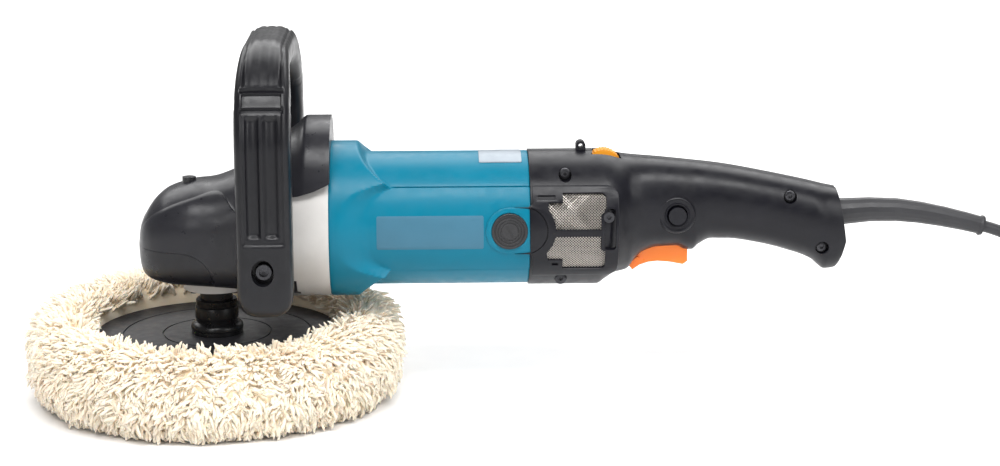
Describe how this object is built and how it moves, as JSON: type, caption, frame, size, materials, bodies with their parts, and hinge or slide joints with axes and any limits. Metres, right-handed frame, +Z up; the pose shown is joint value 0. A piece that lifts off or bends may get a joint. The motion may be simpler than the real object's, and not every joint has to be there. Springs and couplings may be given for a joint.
{
  "type": "rotary polisher",
  "caption": "Rotary polisher with a loop front handle, a trigger rear handle, a rubber backing pad under a tied wool bonnet, and a corded plug.",
  "frame": {"origin": "on the spindle axis at the polishing face of the wool bonnet, which is what the tool rests on", "axes": "+X back along the motor to the rear handle, +Z up along the spindle, -Y the side with the lock-on button"},
  "size_m": [0.8189, 0.2538, 0.248],
  "materials": {
    "black_casting": "satin black powder coat on a light alloy casting",
    "satin_black_plastic": "satin charcoal moulded plastic",
    "cast_aluminium": "fine bead-blasted cast aluminium",
    "teal_plastic": "semi-gloss moulded plastic",
    "black_plastic": "fine spark-eroded moulded plastic",
    "vent_mesh_steel": "woven wire mesh",
    "dark_steel": "blackened screws",
    "blank_panel": "blank inlay, no lettering",
    "blank_label": "blank foil label",
    "cap_plastic": "glossy black moulded plastic",
    "brass": "pressed brass",
    "carbon": "sintered carbon",
    "spring_steel": "bright spring wire",
    "laminated_steel": "stamped laminations",
    "copper": "enamelled copper",
    "bearing_steel": "ground steel",
    "grip_rubber": "dense black grip rubber, fluted on the legs",
    "orange_plastic": "semi-gloss moulded plastic",
    "amber_plastic": "ribbed moulded plastic",
    "circuit_board": "board with parts",
    "cord_rubber": "black rubber sheath",
    "plated_pins": "nickel-plated pins",
    "hub_plastic": "black moulded hub nut",
    "pad_rubber": "black rubber with concentric rings",
    "wool": "tufted cream wool pile"
  },
  "bodies": {
    "housing": {"gear_housing": "black_casting", "head_cover": "satin_black_plastic", "gear_housing_cover": "cast_aluminium", "motor_housing": "teal_plastic", "handle_left": "black_plastic", "handle_right": "black_plastic", "vent_covers": "black_plastic", "vent_meshes": "vent_mesh_steel", "vent_screws": "dark_steel", "side_panels": "blank_panel", "rating_plate": "blank_label", "brush_caps": "cap_plastic", "brush_holders": "brass", "carbon_brushes": "carbon", "brush_springs": "spring_steel", "stator_core": "laminated_steel", "field_coils": "copper", "baffle_plate": "black_plastic", "rear_bearing": "bearing_steel", "front_bearing": "bearing_steel", "idler_bearings": "bearing_steel", "spindle_lower_bearing": "bearing_steel", "spindle_upper_bearing": "bearing_steel", "bearing_box": "cast_aluminium", "bearing_box_screws": "dark_steel", "gear_cover_screws": "bearing_steel", "loop_handle": "grip_rubber", "loop_bolts": "bearing_steel", "loop_spacers": "cast_aluminium", "switch_body": "black_plastic", "trigger_spring": "spring_steel", "lock_spring": "spring_steel", "speed_controller": "circuit_board", "top_lug": "black_plastic", "cord_guard": "cord_rubber", "cord_clamp": "black_plastic", "handle_screws": "dark_steel", "cord": "cord_rubber", "cord_coil": "cord_rubber", "plug_body": "cord_rubber", "plug_pins": "plated_pins", "shaft_lock_spring": "spring_steel"},
    "spindle": {"spindle": "bearing_steel", "bevel_gear": "bearing_steel", "pad_hub": "hub_plastic", "backing_pad": "pad_rubber", "bonnet": "wool"},
    "idler": {"idler_shaft": "bearing_steel", "reduction_gear": "bearing_steel", "bevel_pinion": "bearing_steel"},
    "armature": {"armature_shaft": "bearing_steel", "armature_core": "laminated_steel", "armature_windings": "copper", "commutator": "copper", "cooling_fan": "black_plastic"},
    "trigger": {"trigger": "orange_plastic"},
    "lock_on_button": {"lock_button": "cap_plastic"},
    "dial": {"speed_dial": "amber_plastic"},
    "shaft_lock": {"shaft_lock_button": "cap_plastic"}
  },
  "joints": [
    {"name": "spindle_spin", "type": "hinge", "parent": "housing", "child": "spindle", "pos_m": [0, 0, 0.05], "axis": [0, 0, 1], "continuous": true},
    {"name": "idler_spin", "type": "hinge", "parent": "housing", "child": "idler", "pos_m": [0.04, 0, 0.101], "axis": [1, 0, 0], "continuous": true},
    {"name": "armature_spin", "type": "hinge", "parent": "housing", "child": "armature", "pos_m": [0.15, 0, 0.121], "axis": [1, 0, 0], "continuous": true},
    {"name": "trigger_pull", "type": "hinge", "parent": "housing", "child": "trigger", "pos_m": [0.286, 0, 0.0925], "axis": [0, -1, 0], "range_deg": [0, 8], "stiffness_Nm_per_rad": 0.8, "springref_deg": -5.73, "deforming": ["trigger_spring"]},
    {"name": "lock_button_press", "type": "slide", "parent": "housing", "child": "lock_on_button", "axis": [0, 1, 0], "range_m": [0, 0.003], "stiffness_N_per_m": 400, "springref_m": -0.001, "deforming": ["lock_spring"]},
    {"name": "dial_turn", "type": "hinge", "parent": "housing", "child": "dial", "pos_m": [0.263, 0, 0.1555], "axis": [0, 1, 0], "range_deg": [-140, 140]},
    {"name": "shaft_lock_press", "type": "slide", "parent": "housing", "child": "shaft_lock", "axis": [0, 0, -1], "range_m": [0, 0.0045], "stiffness_N_per_m": 400, "springref_m": -0.001, "deforming": ["shaft_lock_spring"]}
  ],
  "couplings": [
    {"joint": "idler_spin", "follows": "spindle_spin", "ratio": -2.0769},
    {"joint": "armature_spin", "follows": "spindle_spin", "ratio": 9.4615}
  ]
}
